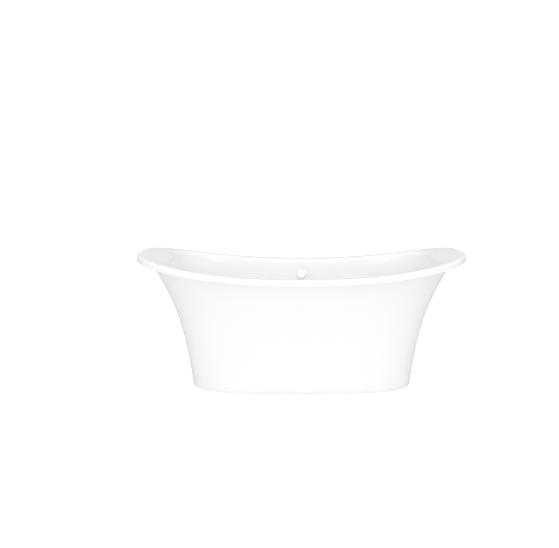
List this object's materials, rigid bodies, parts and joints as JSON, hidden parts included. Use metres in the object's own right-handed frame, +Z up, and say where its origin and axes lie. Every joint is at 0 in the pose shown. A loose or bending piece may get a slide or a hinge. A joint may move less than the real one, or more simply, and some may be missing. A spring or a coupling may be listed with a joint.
{
  "type": "freestanding bathtub",
  "caption": "Double-ended freestanding slipper bath with a swept rolled rim, flared skirt, levelling frame, click-clack waste and overflow.",
  "frame": {"origin": "on the floor under the middle of the bath, at the bottom centre of its box", "axes": "+X along the bath, +Y towards the side with the overflow, +Z up"},
  "size_m": [1.8, 0.8, 0.742],
  "materials": {
    "acrylic_white": "gloss white moulded acrylic",
    "bond_adhesive": "cured adhesive",
    "polished_chrome": "polished",
    "stainless_steel": "plain",
    "galvanised_steel": "zinc plated",
    "seal_rubber": "matt",
    "foot_plastic": "moulded",
    "board_timber": "plywood, unfinished",
    "waste_plastic": "moulded, with a slight sheen",
    "hose_plastic": "ribbed, flexible"
  },
  "bodies": {
    "bath": {"basin_shell": "acrylic_white", "outer_skirt": "acrylic_white", "rim_bond_bead": "bond_adhesive", "base_board": "board_timber", "frame_rail_front": "galvanised_steel", "frame_rail_back": "galvanised_steel", "cross_bar_left": "galvanised_steel", "cross_bar_right": "galvanised_steel", "rail_bolt_front_left": "galvanised_steel", "rail_bolt_front_right": "galvanised_steel", "rail_bolt_back_left": "galvanised_steel", "rail_bolt_back_right": "galvanised_steel", "lock_nut_front_left": "galvanised_steel", "lock_nut_front_right": "galvanised_steel", "lock_nut_back_left": "galvanised_steel", "lock_nut_back_right": "galvanised_steel", "weld_nut_front_left": "galvanised_steel", "weld_nut_front_right": "galvanised_steel", "weld_nut_back_left": "galvanised_steel", "weld_nut_back_right": "galvanised_steel", "skirt_block_front_left": "board_timber", "skirt_block_front_right": "board_timber", "skirt_block_back_left": "board_timber", "skirt_block_back_right": "board_timber", "skirt_bracket_front_left": "galvanised_steel", "skirt_bracket_front_right": "galvanised_steel", "skirt_bracket_back_left": "galvanised_steel", "skirt_bracket_back_right": "galvanised_steel", "tie_screw_front_left": "stainless_steel", "tie_screw_front_right": "stainless_steel", "tie_screw_back_left": "stainless_steel", "tie_screw_back_right": "stainless_steel", "drain_flange": "polished_chrome", "drain_top_gasket": "seal_rubber", "drain_under_gasket": "seal_rubber", "plug_barrel": "stainless_steel", "plug_spring": "stainless_steel", "waste_body": "waste_plastic", "tail_pipe": "waste_plastic", "tail_nut": "waste_plastic", "overflow_faceplate": "polished_chrome", "overflow_cover": "polished_chrome", "overflow_screw": "stainless_steel", "overflow_gasket": "seal_rubber", "overflow_elbow": "waste_plastic", "overflow_hose": "hose_plastic", "hose_nut_top": "waste_plastic", "hose_nut_bottom": "waste_plastic"},
    "plug": {"plug_stem": "stainless_steel", "plug_cap": "polished_chrome", "plug_seal": "seal_rubber"},
    "foot_front_left": {"foot_pad_front_left": "foot_plastic"},
    "foot_front_right": {"foot_pad_front_right": "foot_plastic"},
    "foot_back_left": {"foot_pad_back_left": "foot_plastic"},
    "foot_back_right": {"foot_pad_back_right": "foot_plastic"},
    "stud_front_left": {"foot_stud_front_left": "galvanised_steel"},
    "stud_front_right": {"foot_stud_front_right": "galvanised_steel"},
    "stud_back_left": {"foot_stud_back_left": "galvanised_steel"},
    "stud_back_right": {"foot_stud_back_right": "galvanised_steel"}
  },
  "joints": [
    {"name": "plug_lift", "type": "slide", "parent": "bath", "child": "plug", "axis": [0, 0, 1], "range_m": [0, 0.01], "deforming": ["plug_spring"]},
    {"name": "foot_extend_front_left", "type": "slide", "parent": "bath", "child": "foot_front_left", "axis": [0, 0, -1], "range_m": [0, 0.025]},
    {"name": "foot_extend_front_right", "type": "slide", "parent": "bath", "child": "foot_front_right", "axis": [0, 0, -1], "range_m": [0, 0.025]},
    {"name": "foot_extend_back_left", "type": "slide", "parent": "bath", "child": "foot_back_left", "axis": [0, 0, -1], "range_m": [0, 0.025]},
    {"name": "foot_extend_back_right", "type": "slide", "parent": "bath", "child": "foot_back_right", "axis": [0, 0, -1], "range_m": [0, 0.025]},
    {"name": "stud_turn_front_left", "type": "hinge", "parent": "foot_front_left", "child": "stud_front_left", "pos_m": [-0.4, -0.195, 0.1], "axis": [0, 0, -1], "range_deg": [0, 5150]},
    {"name": "stud_turn_front_right", "type": "hinge", "parent": "foot_front_right", "child": "stud_front_right", "pos_m": [0.4, -0.195, 0.1], "axis": [0, 0, -1], "range_deg": [0, 5150]},
    {"name": "stud_turn_back_left", "type": "hinge", "parent": "foot_back_left", "child": "stud_back_left", "pos_m": [-0.4, 0.195, 0.1], "axis": [0, 0, -1], "range_deg": [0, 5150]},
    {"name": "stud_turn_back_right", "type": "hinge", "parent": "foot_back_right", "child": "stud_back_right", "pos_m": [0.4, 0.195, 0.1], "axis": [0, 0, -1], "range_deg": [0, 5150]}
  ],
  "couplings": [
    {"joint": "stud_turn_front_left", "follows": "foot_extend_front_left", "rad_per_m": 3590.4},
    {"joint": "stud_turn_front_right", "follows": "foot_extend_front_right", "rad_per_m": 3590.4},
    {"joint": "stud_turn_back_left", "follows": "foot_extend_back_left", "rad_per_m": 3590.4},
    {"joint": "stud_turn_back_right", "follows": "foot_extend_back_right", "rad_per_m": 3590.4}
  ]
}
